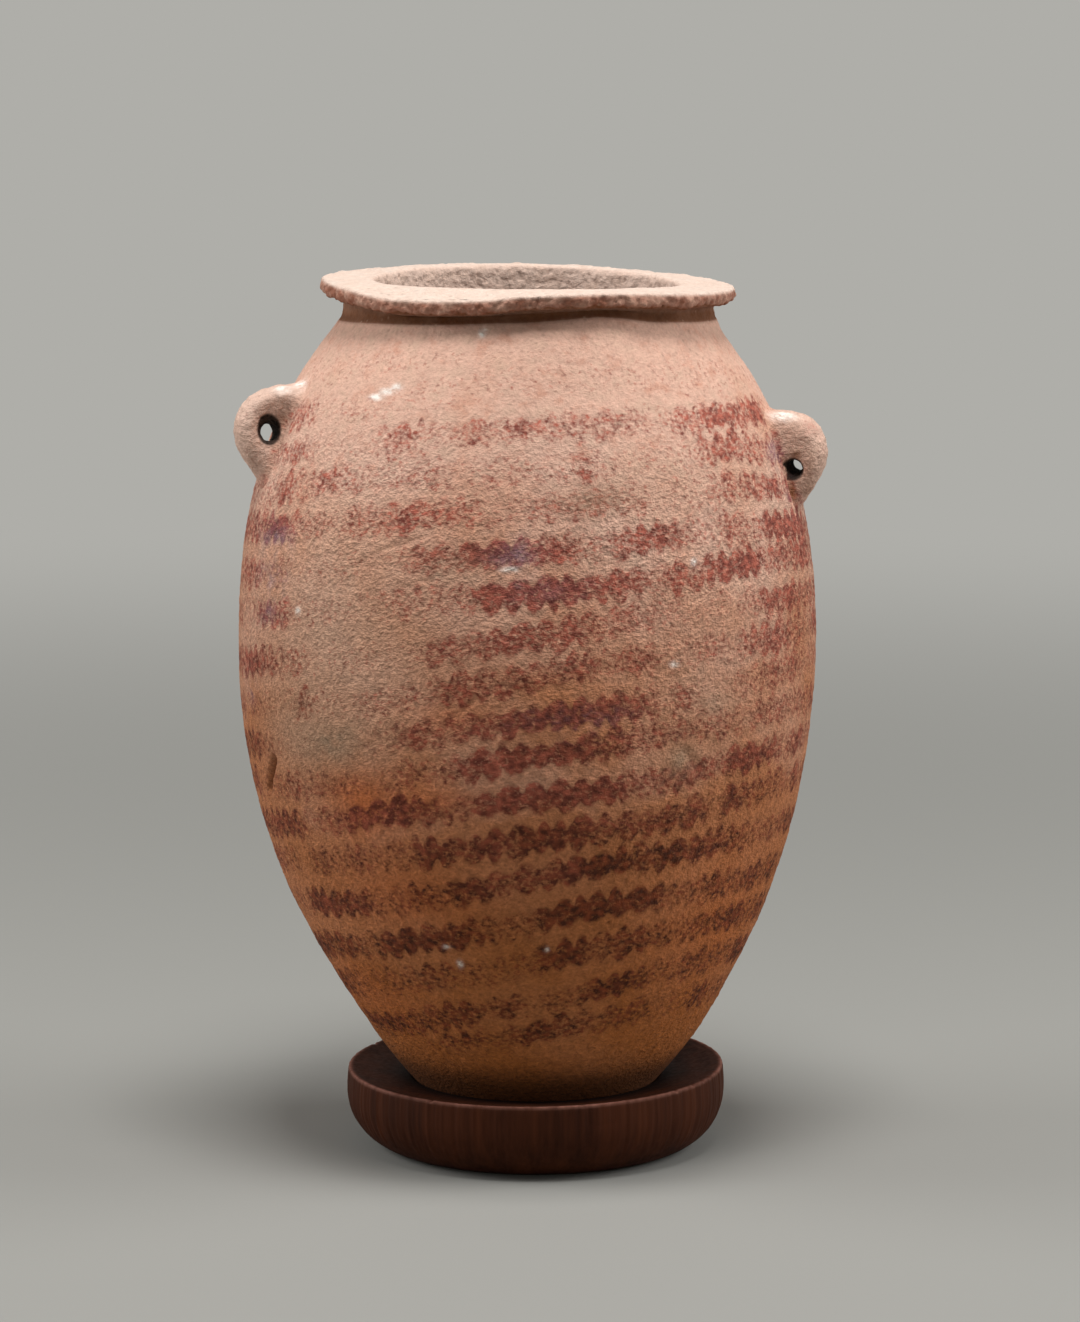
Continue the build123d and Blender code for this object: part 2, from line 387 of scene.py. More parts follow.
# The skin of fired clay: slow swells left by the hand, lumps, grit and small pits where temper burnt out.
skin = bpy.data.node_groups.new("fired_clay_skin", "GeometryNodeTree")
skin.interface.new_socket("Clay", in_out="INPUT", socket_type="NodeSocketGeometry")
for name in ("Swell size", "Swell", "Lump size", "Lump", "Grit size", "Grit", "Pit spacing", "Pit width",
             "Pit depth", "Seed"):
    skin.interface.new_socket(name, in_out="INPUT", socket_type="NodeSocketFloat")
skin.interface.new_socket("Finish", in_out="INPUT", socket_type="NodeSocketMaterial")
skin.interface.new_socket("Clay", in_out="OUTPUT", socket_type="NodeSocketGeometry")
given = node(skin, "NodeGroupInput").outputs
spot = node(skin, "GeometryNodeInputPosition")
NOISE_MEAN = 0.52
layers = []
for kind, detail in (("Swell", 1.0), ("Lump", 2.0), ("Grit", 2.0)):
    scale = node(skin, "ShaderNodeMath", {0: 1.0, 1: given[kind + " size"]}, operation="DIVIDE")
    noise = node(
        skin, "ShaderNodeTexNoise", {"Vector": spot, "W": given["Seed"], "Scale": scale, "Detail": detail},
        noise_dimensions="4D",
    )
    middle = node(skin, "ShaderNodeMath", {0: noise, 1: NOISE_MEAN}, operation="SUBTRACT")
    layers.append(node(skin, "ShaderNodeMath", {0: middle, 1: given[kind]}, operation="MULTIPLY"))
swell, lumps, grit = layers
rough = node(skin, "ShaderNodeMath", {0: lumps, 1: grit}, operation="ADD")
pit_scale = node(skin, "ShaderNodeMath", {0: 1.0, 1: given["Pit spacing"]}, operation="DIVIDE")
cells = node(
    skin, "ShaderNodeTexVoronoi", {"Vector": spot, "W": given["Seed"], "Scale": pit_scale},
    voronoi_dimensions="4D",
)
pit_edge = node(skin, "ShaderNodeMath", {0: given["Pit width"], 1: given["Pit spacing"]}, operation="DIVIDE")
pick = node(skin, "ShaderNodeSeparateXYZ", {"Vector": cells.outputs["Color"]})
size_of_pit = node(skin, "ShaderNodeMath", {0: pick, 1: pit_edge}, operation="MULTIPLY")
pit = node(
    skin, "ShaderNodeMapRange",
    {"Value": cells, "From Max": size_of_pit, "To Min": 1.0, "To Max": 0.0},
    interpolation_type="SMOOTHSTEP",
)
pit_sunk = node(skin, "ShaderNodeMath", {0: pit, 1: given["Pit depth"]}, operation="MULTIPLY")
rough = node(skin, "ShaderNodeMath", {0: rough, 1: pit_sunk}, operation="SUBTRACT")
chipped = node(skin, "GeometryNodeInputNamedAttribute", {"Name": "chipped"}, data_type="FLOAT")
rougher = node(skin, "ShaderNodeMath", {0: chipped, 1: 1.0}, operation="ADD")
relief = node(skin, "ShaderNodeMath", {0: rough, 1: rougher, 2: swell}, operation="MULTIPLY_ADD")
amount = node(skin, "GeometryNodeInputNamedAttribute", {"Name": "roughened"}, data_type="FLOAT")
relief = node(skin, "ShaderNodeMath", {0: relief, 1: amount}, operation="MULTIPLY")
way = node(skin, "GeometryNodeInputNormal")
push = node(skin, "ShaderNodeVectorMath", {0: way, "Scale": relief}, operation="SCALE")
moved = node(skin, "GeometryNodeSetPosition", {"Geometry": given["Clay"], "Offset": push})
real = node(skin, "GeometryNodeRealizeInstances", {"Geometry": moved})
coated = node(skin, "GeometryNodeSetMaterial", {"Geometry": real, "Material": given["Finish"]})
node(skin, "NodeGroupOutput", {"Clay": coated})


def roughen(piece, amount, chips, finish, **sizes):
    """Give a piece its clay skin, with sizes in mm, and return it as a plain mesh."""
    set_marks(piece, roughened=amount, chipped=chips)
    coat = piece.modifiers.new("skin", "NODES")
    coat.node_group = skin
    values = {name.replace("_", " ").capitalize(): size * MM for name, size in sizes.items()}
    values.update(Seed=3.7, Finish=finish)
    for item in skin.interface.items_tree:
        if item.in_out == "INPUT" and item.name in values:
            coat[item.identifier] = values[item.name]
    graph = bpy.context.evaluated_depsgraph_get()
    mesh = bpy.data.meshes.new_from_object(
        piece.evaluated_get(graph), preserve_all_data_layers=True, depsgraph=graph
    )
    piece.modifiers.remove(coat)
    return mesh


clay_skin = dict(
    swell_size=55.0, swell=1.5, lump_size=10.0, lump=0.8, grit_size=2.0, grit=0.7,
    pit_spacing=3.2, pit_width=1.2, pit_depth=0.5,
)

# Painted rows
# Rows of lobed bands dabbed round the jar with a brush in a red-brown slip, a few lobes to each load.
# The rows tilt round the jar, and rubbing, salts and the soil have worn them away in places.
rng = np.random.default_rng(41)
row_heights = [
    258.0, 245.6, 233.5, 223.0, 211.6, 199.0, 187.5, 174.5, 162.0, 150.0, 138.5, 126.0, 113.6, 100.7,
    86.8, 73.7, 60.2, 48.7,
]
lobe_length = 6.6  # of one dab of the brush along the row, mm
lobe_height = 3.0  # of the lobes on each edge of a row
band_core = 2.3  # half height of a row between its lobes
FAR_FROM_ROWS = -20.0  # mm inside a row, so well outside all of them
wall_r, wall_z = radius[: rim_row + 1], height[: rim_row + 1]
band = np.full((rim_row + 1, JAR_COLUMNS), FAR_FROM_ROWS)
load = np.zeros_like(band)
tilt_high = 13.0 * (np.sin(turns + radians(60)) - sin(radians(70)))
tilt_low = 15.0 * (np.sin(turns + radians(27)) - sin(radians(37)))
for row_height in row_heights:
    low_row = ease(row_height, 215.0, 150.0)
    middle = row_height + (1 - low_row) * tilt_high + low_row * tilt_low
    middle = middle + 0.7 * np.sin(3 * turns + rng.uniform(0, 6))
    middle = middle + 0.5 * np.sin(5 * turns + rng.uniform(0, 6))
    row_radius = np.interp(middle, outside[:, 1], outside[:, 0])
    along = np.cumsum(row_radius) * 2 * pi / JAR_COLUMNS
    girth = along[-1]
    count = round(girth / lobe_length)
    reach = []
    for _ in ("upper edge", "lower edge"):
        steps = rng.uniform(0.65, 1.35, count)
        notches = np.r_[0, steps.cumsum() * girth / steps.sum()]
        lobe_heights = lobe_height * rng.uniform(0.4, 1.5, count + 1)
        round_lobe = np.abs(np.sin(pi * np.interp(along, notches, np.arange(count + 1))))
        reach.append(band_core + np.interp(along, notches, lobe_heights) * round_lobe)
    # A stroke starts with a full brush and runs dry over four to nine lobes.
    stroke_ends = rng.integers(4, 10, count).cumsum()
    stroke = np.searchsorted(stroke_ends, np.arange(count), "right")
    run_dry = (np.arange(count) - np.r_[0, stroke_ends][stroke]) / 9
    stroke_load = rng.uniform(0.56, 1.0, count)[stroke] - 0.45 * run_dry + rng.normal(0, 0.2, count)
    slip = np.interp(along, np.arange(count) * girth / count, stroke_load, period=girth)
    above_middle = wall_z - middle
    depth = np.minimum(reach[0] - above_middle, reach[1] + above_middle)
    load = np.where(depth > band, slip, load)
    band = np.maximum(band, depth)
load = load * ease(wall_z, 240.0, 234.0) * ease(wall_z, 36.0, 46.0)
HALF_GIRTH = 280.0  # mm from the front of the belly round to the back


def patches(marks):
    """Soft round patches on the wall, added up.

    Each is its degrees from the front, height, half sizes in mm, slant if it has one, and strength.
    """
    total = 0
    for turn, at_height, wide, high, *slant, strength in marks:
        across = (turns - radians(turn)) * np.clip(wall_r, 30, None)
        if abs(turn) > 120:
            across = (across + HALF_GIRTH) % (2 * HALF_GIRTH) - HALF_GIRTH
        up = wall_z - at_height - sum(slant) * across
        total = total + strength * np.exp(-((across / wide) ** 2) - (up / high) ** 2)
    return total


strong = patches([
    (60, 233, 20, 5, 0.7), (0, 198, 25, 5, 0.55), (2, 188, 20, 5, 0.5), (9, 148, 20, 6, 0.5),
    (6, 136, 24, 8, 0.45), (12, 100, 10, 6, 0.6), (10, 87, 9, 5, 0.7), (52, 131, 12, 6, 0.6),
    (36, 103, 14, 6, 0.5), (30, 113, 12, 6, 0.4), (-22, 75, 12, 5, 0.5), (70, 200, 16, 16, 0.4),
    (48, 190, 14, 6, 0.4), (-66, 221, 7, 4, 0.5), (-1, 233, 8, 4, 0.4), (-6, 197.5, 16, 4.5, 0.3),
    (-70, 184, 10, 24, 0.3), (130, 160, 40, 40, 0.25), (-130, 120, 45, 40, 0.25), (6, 143, 30, 11, 0.3),
    (10, 120, 30, 11, 0.4), (14, 95, 22, 10, 0.4), (-24, 108, 20, 6, 0.25), (-30, 74, 14, 5, 0.25),
])
rubbed_off = patches([
    (-44, 188, 28, 18, 0.6), (-36, 166, 24, 20, 0.55), (-45, 140, 18, 10, 0.55), (-14, 220, 34, 7, 0.35),
    (20, 228, 26, 7, 0.45), (28, 214, 16, 7, 0.3), (34, 162, 14, 14, 0.25), (24, 178, 20, 6, 0.25),
    (-38, 227, 34, 11, 0.6), (36, 192, 14, 5, 0.3), (36, 88, 12, 6, 0.35), (-50, 100, 16, 12, 0.2),
    (40, 148, 10, 8, 0.3), (0, 68, 20, 6, 0.2), (-10, 92, 12, 8, 0.25), (180, 200, 50, 18, 0.35),
    (-150, 170, 30, 25, 0.45), (110, 100, 30, 20, 0.3), (160, 80, 30, 14, 0.3), (-74, 160, 9, 60, 0.25),
    (-52, 212, 14, 4.5, 0.6), (-54, 234, 15, 5, 0.6), (15, 233, 9, 4, 0.4), (23, 199, 10, 4, 0.3),
])
load = np.clip(load + strong - rubbed_off, 0.0, 1.1)
wall_marks = {"band": band, "load": load}
for kind, most, marks in (
    ("worn_buff", 1.0, [
        (-40, 168, 34, 34, 0.9), (-52, 138, 20, 14, 0.6), (34, 150, 22, 24, 0.35), (30, 215, 26, 8, 0.35),
        (170, 190, 60, 30, 0.5), (-140, 150, 34, 30, 0.6),
    ]),
    ("grey_scuff", 1.0, [
        (-40, 138.5, 16, 7.0, 0.12, 1.0), (32, 134, 5, 5, 0.9), (14, 212, 10, 4, 0.7), (-15, 193, 9, 4, 0.5),
        (40, 150, 8, 4, 0.4), (150, 120, 14, 6, 0.8),
    ]),
    ("orange", 1.0, [
        (-34, 120, 14, 10, 0.65), (-17, 124, 12, 5, 0.4), (-28, 92, 24, 12, 0.35), (50, 80, 30, 26, 0.3),
        (-55, 55, 26, 12, 0.3), (-14, 148, 12, 5, 0.35), (-150, 90, 40, 26, 0.4), (140, 60, 40, 20, 0.3),
    ]),
    ("violet", 1.0, [
        (-62, 197, 10, 5, 1.0), (-60, 184, 9, 5, 0.9), (-61, 174, 7, 4, 0.7), (-2, 197.5, 7, 5, 1.0),
        (4, 187, 12, 4, 0.4), (72, 219, 7, 5, 0.9), (74, 206, 6, 5, 0.6), (10, 148, 18, 5, 0.3),
        (-70, 148, 6, 5, 0.5),
    ]),
    ("salt", 1.2, [
        (-40, 239.8, 2.4, 0.8, 1.1), (-37, 241.6, 2.6, 0.7, 1.1), (-34.5, 243, 1.6, 0.7, 1.0),
        (-13, 257, 1.0, 1.0, 1.4), (35.5, 192.5, 0.9, 0.9, 1.6), (-17.5, 70.5, 0.8, 1.1, 0.9),
        (-50, 176, 1.0, 1.0, 0.8), (-76, 238.5, 3.5, 2.0, 1.3), (-3, 192.5, 2.4, 0.7, 0.8),
        (30, 163, 1.6, 0.8, 0.8), (-20, 76, 1.1, 0.7, 0.5), (4, 76, 0.7, 0.7, 0.6),
    ]),
):
    wall_marks[kind] = np.clip(patches(marks), 0, most)


def earthenware(name, painted):
    """Coarse clay after firing, matt and dusty, with or without its red-brown painted rows."""
    material = bpy.data.materials.new(name)
    tree = empty_tree(material)
    place = node(tree, "ShaderNodeTexCoord").outputs["Object"]
    # The hand drew the wet clay round the jar, so its grain is longer along than up.
    drawn = node(tree, "ShaderNodeMapping", {"Vector": place, "Scale": (1.0, 1.0, 1.25)})
    grain = {}
    for kind, size, detail, roughness in (
        ("cloud", 38.0, 3.0, 0.5),  # clouds left by the fire, mm
        ("mottle", 6.5, 4.0, 0.62),  # blotches in the clay
        ("tone", 2.4, 2.0, 0.5),  # thick and thin slip
        ("ragged", 2.2, 2.0, 0.5),  # frayed edge of the slip
        ("net", 1.5, 3.0, 0.6),  # slip rubbed off the high grains
        ("sand", 2.2, 3.0, 0.6),  # coarse temper
        ("dust", 1.2, 2.0, 0.7),  # fine temper, as coarse as it needs to be to show
    ):
        grain[kind] = node(
            tree, "ShaderNodeTexNoise",
            {"Vector": drawn, "Scale": 1 / (size * MM), "Detail": detail, "Roughness": roughness},
        )
    mark = {}
    other_marks = ("white_salt", "red_smear", "dished", "soiled", "bleached", "broken_edge", "grimed")
    for kind in (*wall_marks, *other_marks):
        mark[kind] = node(tree, "ShaderNodeAttribute", attribute_name=kind).outputs["Fac"]

    # Pinkish buff above and warm brown below, darker towards the bottom, clouded and mottled.
    height_up = node(tree, "ShaderNodeSeparateXYZ", {"Vector": place}).outputs["Z"]
    clouded = node(
        tree, "ShaderNodeMapRange",
        {"Value": grain["cloud"], "From Min": 0.3, "From Max": 0.7, "To Min": -32 * MM, "To Max": 32 * MM},
    )
    level = node(tree, "ShaderNodeMath", {0: height_up, 1: clouded}, operation="ADD")
    clay = linear("#A05E2E")
    for low, high, colour in ((30, 130, "#B87852"), (120, 235, "#CFA692")):
        fired = node(
            tree, "ShaderNodeMapRange", {"Value": level, "From Min": low * MM, "From Max": high * MM}
        )
        sockets = {"Factor": fired, "A": clay, "B": linear(colour)}
        clay = node(tree, "ShaderNodeMix", sockets, data_type="RGBA")
    layers = []  # over the fired clay, each two amounts to be multiplied, and a colour
    for start, end, most, colour in ((0.50, 0.72, 0.4, "#BFA38C"), (0.46, 0.26, 0.4, "#A9603F")):
        blotch = node(
            tree, "ShaderNodeMapRange",
            {"Value": grain["mottle"], "From Min": start, "From Max": end, "To Max": most},
        )
        layers.append((blotch, fired, linear(colour)))

    stains = [
        # mark, grain that breaks it up, range of that grain, least and most amount, colour
        # painted shade in the lugs' dishes round their holes
        ("dished", "mottle", 0.30, 0.70, 0.2, 0.5, "#A98068"),
        # paler clay: partly bleaching, partly painted light on the rim's flat, the mouth's inner edge and the
        # lugs' faces
        ("bleached", "mottle", 0.30, 0.70, 0.95, 0.6, "#D2C0B2"),
        ("red_smear", "sand", 0.40, 0.60, 0.2, 0.8, "#9C4A3C"),
        # the broken lip front, darkened with painted shade
        ("broken_edge", "mottle", 0.62, 0.40, 0.45, 0.85, "#87503A"),
        # brown painted shade in the cove, round the base in the ring, in the slit and at the lugs' roots
        ("grimed", "mottle", 0.30, 0.70, 1.0, 0.85, "#6B3D1B"),
        # near-black painted shade round the base in the ring, in the neck's crease and going into the lugs'
        # holes
        ("soiled", "sand", 0.20, 0.60, 0.8, 1.0, "#1E130D"),
        ("salt", "sand", 0.35, 0.55, 0.3, 1.3, "#EFE6DC"),
        ("white_salt", "sand", 0.35, 0.55, 0.3, 1.0, "#EFE6DC"),
    ]
    if painted:
        layers.append((mark["worn_buff"], 0.7, linear("#B8937A")))
        layers.append((mark["orange"], 0.9, linear("#BE5F28")))
        # The slip is thick and thin by turns, frays over the grit and is rubbed off the high grains.
        edge = node(
            tree, "ShaderNodeMath", {0: grain["ragged"], 1: 3.8, 2: mark["band"]}, operation="MULTIPLY_ADD"
        )
        edge = node(tree, "ShaderNodeMath", {0: grain["dust"], 1: 1.2, 2: edge}, operation="MULTIPLY_ADD")
        in_lobe = node(tree, "ShaderNodeMapRange", {"Value": edge, "From Min": 2.0, "From Max": 3.3})
        held = node(
            tree, "ShaderNodeMath", {0: grain["net"], 1: 3.2, 2: mark["load"]}, operation="MULTIPLY_ADD"
        )
        held = node(
            tree, "ShaderNodeMapRange", {"Value": held, "From Min": 1.72, "From Max": 2.6, "To Max": 0.92}
        )
        thick = node(tree, "ShaderNodeMapRange", {"Value": grain["tone"], "From Min": 0.36, "From Max": 0.62})
        lower = node(tree, "ShaderNodeMapRange", {"Value": level, "From Min": 180 * MM, "From Max": 85 * MM})
        purple = node(tree, "ShaderNodeMath", {0: mark["violet"], 1: 0.8}, operation="MULTIPLY")
        tones = []
        for above, below in (("#AE5A48", "#803C22"), ("#6C2A22", "#34120A")):
            sockets = {"Factor": lower, "A": linear(above), "B": linear(below)}
            tones.append(node(tree, "ShaderNodeMix", sockets, data_type="RGBA"))
        slip = tones[0]
        for amount, colour in ((thick, tones[1]), (purple, linear("#6B3D47"))):
            slip = node(tree, "ShaderNodeMix", {"Factor": amount, "A": slip, "B": colour}, data_type="RGBA")
        layers.append((in_lobe, held, slip))
        stains += [
            ("grey_scuff", "mottle", 0.35, 0.60, 0.4, 0.9, "#9A7E66"),
            ("violet", "mottle", 0.45, 0.65, 0.0, 0.5, "#97828A"),
        ]
    for kind, breaks, start, end, least, most, colour in stains:
        broken = node(
            tree, "ShaderNodeMapRange",
            {"Value": grain[breaks], "From Min": start, "From Max": end, "To Min": least, "To Max": most},
        )
        layers.append((mark[kind], broken, linear(colour)))

    # Grains of dark and pale sand, a fine dust over all, and the shallow relief of both.
    sand_spacing = 2.1  # mm
    cells = node(tree, "ShaderNodeTexVoronoi", {"Vector": place, "Scale": 1 / (sand_spacing * MM)})
    pick = node(tree, "ShaderNodeSeparateColor", {"Color": cells.outputs["Color"]})
    speck = node(tree, "ShaderNodeMapRange", {"Value": cells, "From Min": 0.34, "From Max": 0.14})
    for start, end, most, colour in ((0.18, 0.12, 0.28, "#5A3C2E"), (0.88, 0.94, 0.3, "#D8B79E")):
        picked = node(
            tree, "ShaderNodeMapRange", {"Value": pick, "From Min": start, "From Max": end, "To Max": most}
        )
        picked = node(tree, "ShaderNodeMath", {0: picked, 1: fired}, operation="MULTIPLY")
        layers.append((speck, picked, linear(colour)))
    for one, other, colour in layers:
        amount = node(tree, "ShaderNodeMath", {0: one, 1: other}, operation="MULTIPLY")
        clay = node(tree, "ShaderNodeMix", {"Factor": amount, "A": clay, "B": colour}, data_type="RGBA")
    smoothed = node(
        tree, "ShaderNodeMapRange",
        {"Value": height_up, "From Min": 195 * MM, "From Max": 240 * MM, "To Min": 1.0, "To Max": 0.4},
    )
    for kind, least, most in (("sand", 0.81, 1.18), ("dust", 0.76, 1.23)):
        shade = node(
            tree, "ShaderNodeMapRange",
            {"Value": grain[kind], "From Min": 0.3, "From Max": 0.7, "To Min": least, "To Max": most},
        )
        shade = node(tree, "ShaderNodeMix", {"Factor": smoothed, "A": 1.0, "B": shade})
        clay = node(tree, "ShaderNodeVectorMath", {0: clay, "Scale": shade}, operation="SCALE")
    relief = node(
        tree, "ShaderNodeMath", {0: grain["sand"], 1: 0.8, 2: grain["dust"]}, operation="MULTIPLY_ADD"
    )
    bumps = node(tree, "ShaderNodeBump", {"Height": relief, "Strength": smoothed, "Distance": 1.0 * MM})
    surface = node(
        tree, "ShaderNodeBsdfPrincipled",
        {"Base Color": clay, "Roughness": 0.9, "Normal": bumps, "IOR": 1.45, "Specular IOR Level": 0.25},
    )
    node(tree, "ShaderNodeOutputMaterial", {"Surface": surface})
    return material


painted_clay = earthenware("painted_earthenware_slip_on_coarse_clay", True)
plain_clay = earthenware("plain_coarse_earthenware", False)
# Painted shade darkens the cove under the lip, the neck's crease, the slit and the base where the ring holds
# it.
# The rim's flat and inner edge are paler, partly bleaching and partly painted light, and the broken lip front
# has painted shade.
on_flat = ease(height, 269.2, 270.9)
on_lip = ease(radius, 60.5, 62.0) * ease(height, 264.0, 265.5) * (1 - on_flat)
in_cove = ease(height, 258.8, 259.6) * ease(height, 267.2, 266.2) * ease(radius, 63.2, 61.8)
in_cove = in_cove * is_outside * (0.8 + 0.2 * ease(height, 265.0, 261.0))
in_crease = np.exp(-(((height - 260.2) / 1.1) ** 2)) * is_outside
in_ring = ease(height, 38.0, 26.0) * ease(height, 11.0, 20.0) * is_outside
on_inner_edge = 0.75 * ease(height, 240.0, 256.0) * ~is_outside
rim_marks = {
    # brown painted shade: cove under the lip, base in the ring, and the slit
    "grimed": np.maximum(np.maximum(in_cove, 0.65 * in_ring), slit / slit.max()),
    # near-black painted shade round the base and in the neck's crease
    "soiled": 0.4 * in_ring**2 + 0.25 * in_crease,
    # partly bleaching, partly painted light on the flat and the mouth's inner edge
    "bleached": np.maximum(on_flat, on_inner_edge),
    # broken lip front, also darkened as painted shade
    "broken_edge": on_lip,
}

# Courses of the wall
# The base is pinched from one lump, and each course above it sits on the bevelled edge of the one below.
# Wet clay was smeared over the joints, so one skin runs over all of them and is parted where the joints lie.
near_edge = ease(radius, 60.0, 62.0) * on_flat
under_flat = ease(height, 255.0, 262.0) * ~is_outside * (1 - on_flat)
lip_chips = np.repeat(3.2 * on_lip + 2.2 * near_edge + 0.9 * under_flat, JAR_COLUMNS, 1)
on_shoulder = ease(height, 205.0, 240.0) * ease(height, 263.0, 258.0)
rough_outside = ease(height, 26.0, 36.0) * (1 - 0.4 * on_shoulder)
jar_rough = np.where(is_outside, rough_outside, ease(height, 200.0, 230.0)) * (1 - 0.45 * on_flat)
jar_rough = np.repeat(jar_rough, JAR_COLUMNS, 1)
at_poles = [0, 0]
roughened = roughen(
    jar, np.r_[jar_rough.ravel(), at_poles], np.r_[lip_chips.ravel(), at_poles], plain_clay, **clay_skin
)
skin_points = np.empty(len(roughened.vertices) * 3)
skin_ways = np.empty_like(skin_points)
roughened.vertices.foreach_get("co", skin_points)
roughened.vertex_normals.foreach_get("vector", skin_ways)
skin_points = skin_points.reshape(-1, 3) / MM
skin_ways = skin_ways.reshape(-1, 3)
bpy.data.objects.remove(jar)


def nearest_row(at_height, out):
    """Row of the section that lies nearest to a height, on the outside or the inside."""
    gap = np.where(is_outside[:, 0] == out, np.abs(section[:, 1] - at_height), np.inf)
    return int(np.argmin(gap))


def course(name, node_name, row_runs, finish, ends=()):
    """Closed piece of the jar between rows of its section, with the poles that end it, if any."""
    picked = np.concatenate([np.arange(a, b + 1) for a, b in row_runs])
    index = (picked[:, None] * JAR_COLUMNS + here).ravel()
    index = np.r_[index, [rows * JAR_COLUMNS + pole for pole in ends]].astype(int)
    count = len(picked)
    ring_order = [*range(count)] if ends else [*range(count), 0]
    caps = end_fans(count) if ends else []
    piece = make_piece(name, skin_points[index], row_quads(ring_order, JAR_COLUMNS), caps)
    piece.data.materials.append(finish)
    for mark_name, field in {**wall_marks, **rim_marks}.items():
        whole = np.full((rows, JAR_COLUMNS), FAR_FROM_ROWS if mark_name == "band" else 0.0)
        whole[: len(field)] = field
        set_marks(piece, **{mark_name: np.r_[whole[picked].ravel(), [whole[0, 0]] * len(ends)]})
    piece.data.normals_split_custom_set_from_vertices(skin_ways[index])
    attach(piece, "jar")
    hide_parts(node_name)


joint_out = [nearest_row(z, True) for z in joint_heights]
joint_in = [nearest_row(z + joint_rise, False) for z in joint_heights]
course(
    "jar_base", "base_cup", [(0, joint_out[0]), (joint_in[0], rows - 1)],
    painted_clay, (0, 1),
)
for k, node_name in enumerate(("lower_wall", "belly_wall", "upper_wall", "shoulder_wall")):
    course(
        "jar_" + node_name, node_name, [(joint_out[k], joint_out[k + 1]), (joint_in[k + 1], joint_in[k])],
        painted_clay,
    )

# Rim
# A coil of the same clay, turned out by hand into a flat lip, rough and pitted along its edge.
# It was luted on last, over the bevelled edge of the shoulder.
course("jar_rim", "rim_collar", [(joint_out[4], joint_in[4])], plain_clay)

# Pierced lugs
# Two small ears of clay pressed on to the shoulder, pinched hollow from both sides and pierced with a stick.
# They took the cord that held a cover down, and their roots are smeared into the wall.
EAR_STEP = 0.45  # mm between the points that an ear is worked out on


def outline_gap(points, x, y):
    """Distance in mm from a closed outline, less than nought inside it."""
    points = np.array(points, float)
    gap = np.full(x.shape, np.inf)
    inside_it = np.zeros(x.shape, bool)
    for a, b in zip(points, np.roll(points, -1, 0)):
        run = b - a
        t = np.clip(((x - a[0]) * run[0] + (y - a[1]) * run[1]) / (run @ run), 0, 1)
        gap = np.minimum(gap, np.hypot(x - a[0] - t * run[0], y - a[1] - t * run[1]))
        crosses = (a[1] > y) != (b[1] > y)
        slope = run[0] / run[1] if run[1] else 0.0
        inside_it ^= crosses & (x < a[0] + (y - a[1]) * slope)
    return np.where(inside_it, -gap, gap)


def soft_least(a, b, blend):
    """The lesser of two distances, rounded where they are alike."""
    t = np.clip(0.5 + 0.5 * (b - a) / blend, 0, 1)
    return b + (a - b) * t - blend * t * (1 - t)


def surface_of(field, low, step):
    """Points and faces of the closed surface where a field on a block of points passes nought."""
    cells = tuple(n - 1 for n in field.shape)
    total = np.zeros(cells + (3,))
    hits = np.zeros(cells)
    corner = np.moveaxis(np.indices(field.shape), 0, -1).astype(float)
    for axis in range(3):
        # Each cell gathers the points where the surface cuts its four edges along this axis.
        run = np.moveaxis(field, axis, 0)
        cut = (run[:-1] < 0) != (run[1:] < 0)
        point = np.moveaxis(corner, axis, 0)[:-1].copy()
        point[..., axis] += np.where(cut, run[:-1] / np.where(cut, run[:-1] - run[1:], 1), 0)
        cell_total, cell_hits = np.moveaxis(total, axis, 0), np.moveaxis(hits, axis, 0)
        for i in (0, 1):
            for j in (0, 1):
                take = np.s_[:, i : i + cell_hits.shape[1], j : j + cell_hits.shape[2]]
                cell_total += np.where(cut[take][..., None], point[take], 0)
                cell_hits += cut[take]
    used = hits > 0
    number = np.full(cells, -1)
    number[used] = np.arange(used.sum())
    points = total[used] / hits[used][:, None] * step + low
    faces = []
    for axis in range(3):
        first, second = [slice(1, -1)] * 3, [slice(1, -1)] * 3
        first[axis], second[axis] = slice(0, -1), slice(1, None)
        a, b = field[tuple(first)] < 0, field[tuple(second)] < 0
        for change, order in ((a & ~b, 1), (~a & b, -1)):
            square = []
            for corner_shift in ((0, 0), (1, 0), (1, 1), (0, 1)):
                shift = np.zeros(3, int)
                shift[[(axis + 1) % 3, (axis + 2) % 3]] = corner_shift
                square.append(number[tuple((np.argwhere(change) + shift).T)])
            faces.append(np.column_stack(square[::order]))
    return points, np.vstack(faces)


def wall_place(turn, at_height):
    """Row and column of the wall's outside at places given by turn and height, the row as a fraction."""
    column = np.round((turn + pi) / (2 * pi) * JAR_COLUMNS).astype(int) % JAR_COLUMNS
    first, last_row = nearest_row(190.0, True), nearest_row(255.0, True)
    return np.interp(at_height, section[first:last_row, 1], np.arange(first, last_row)), column


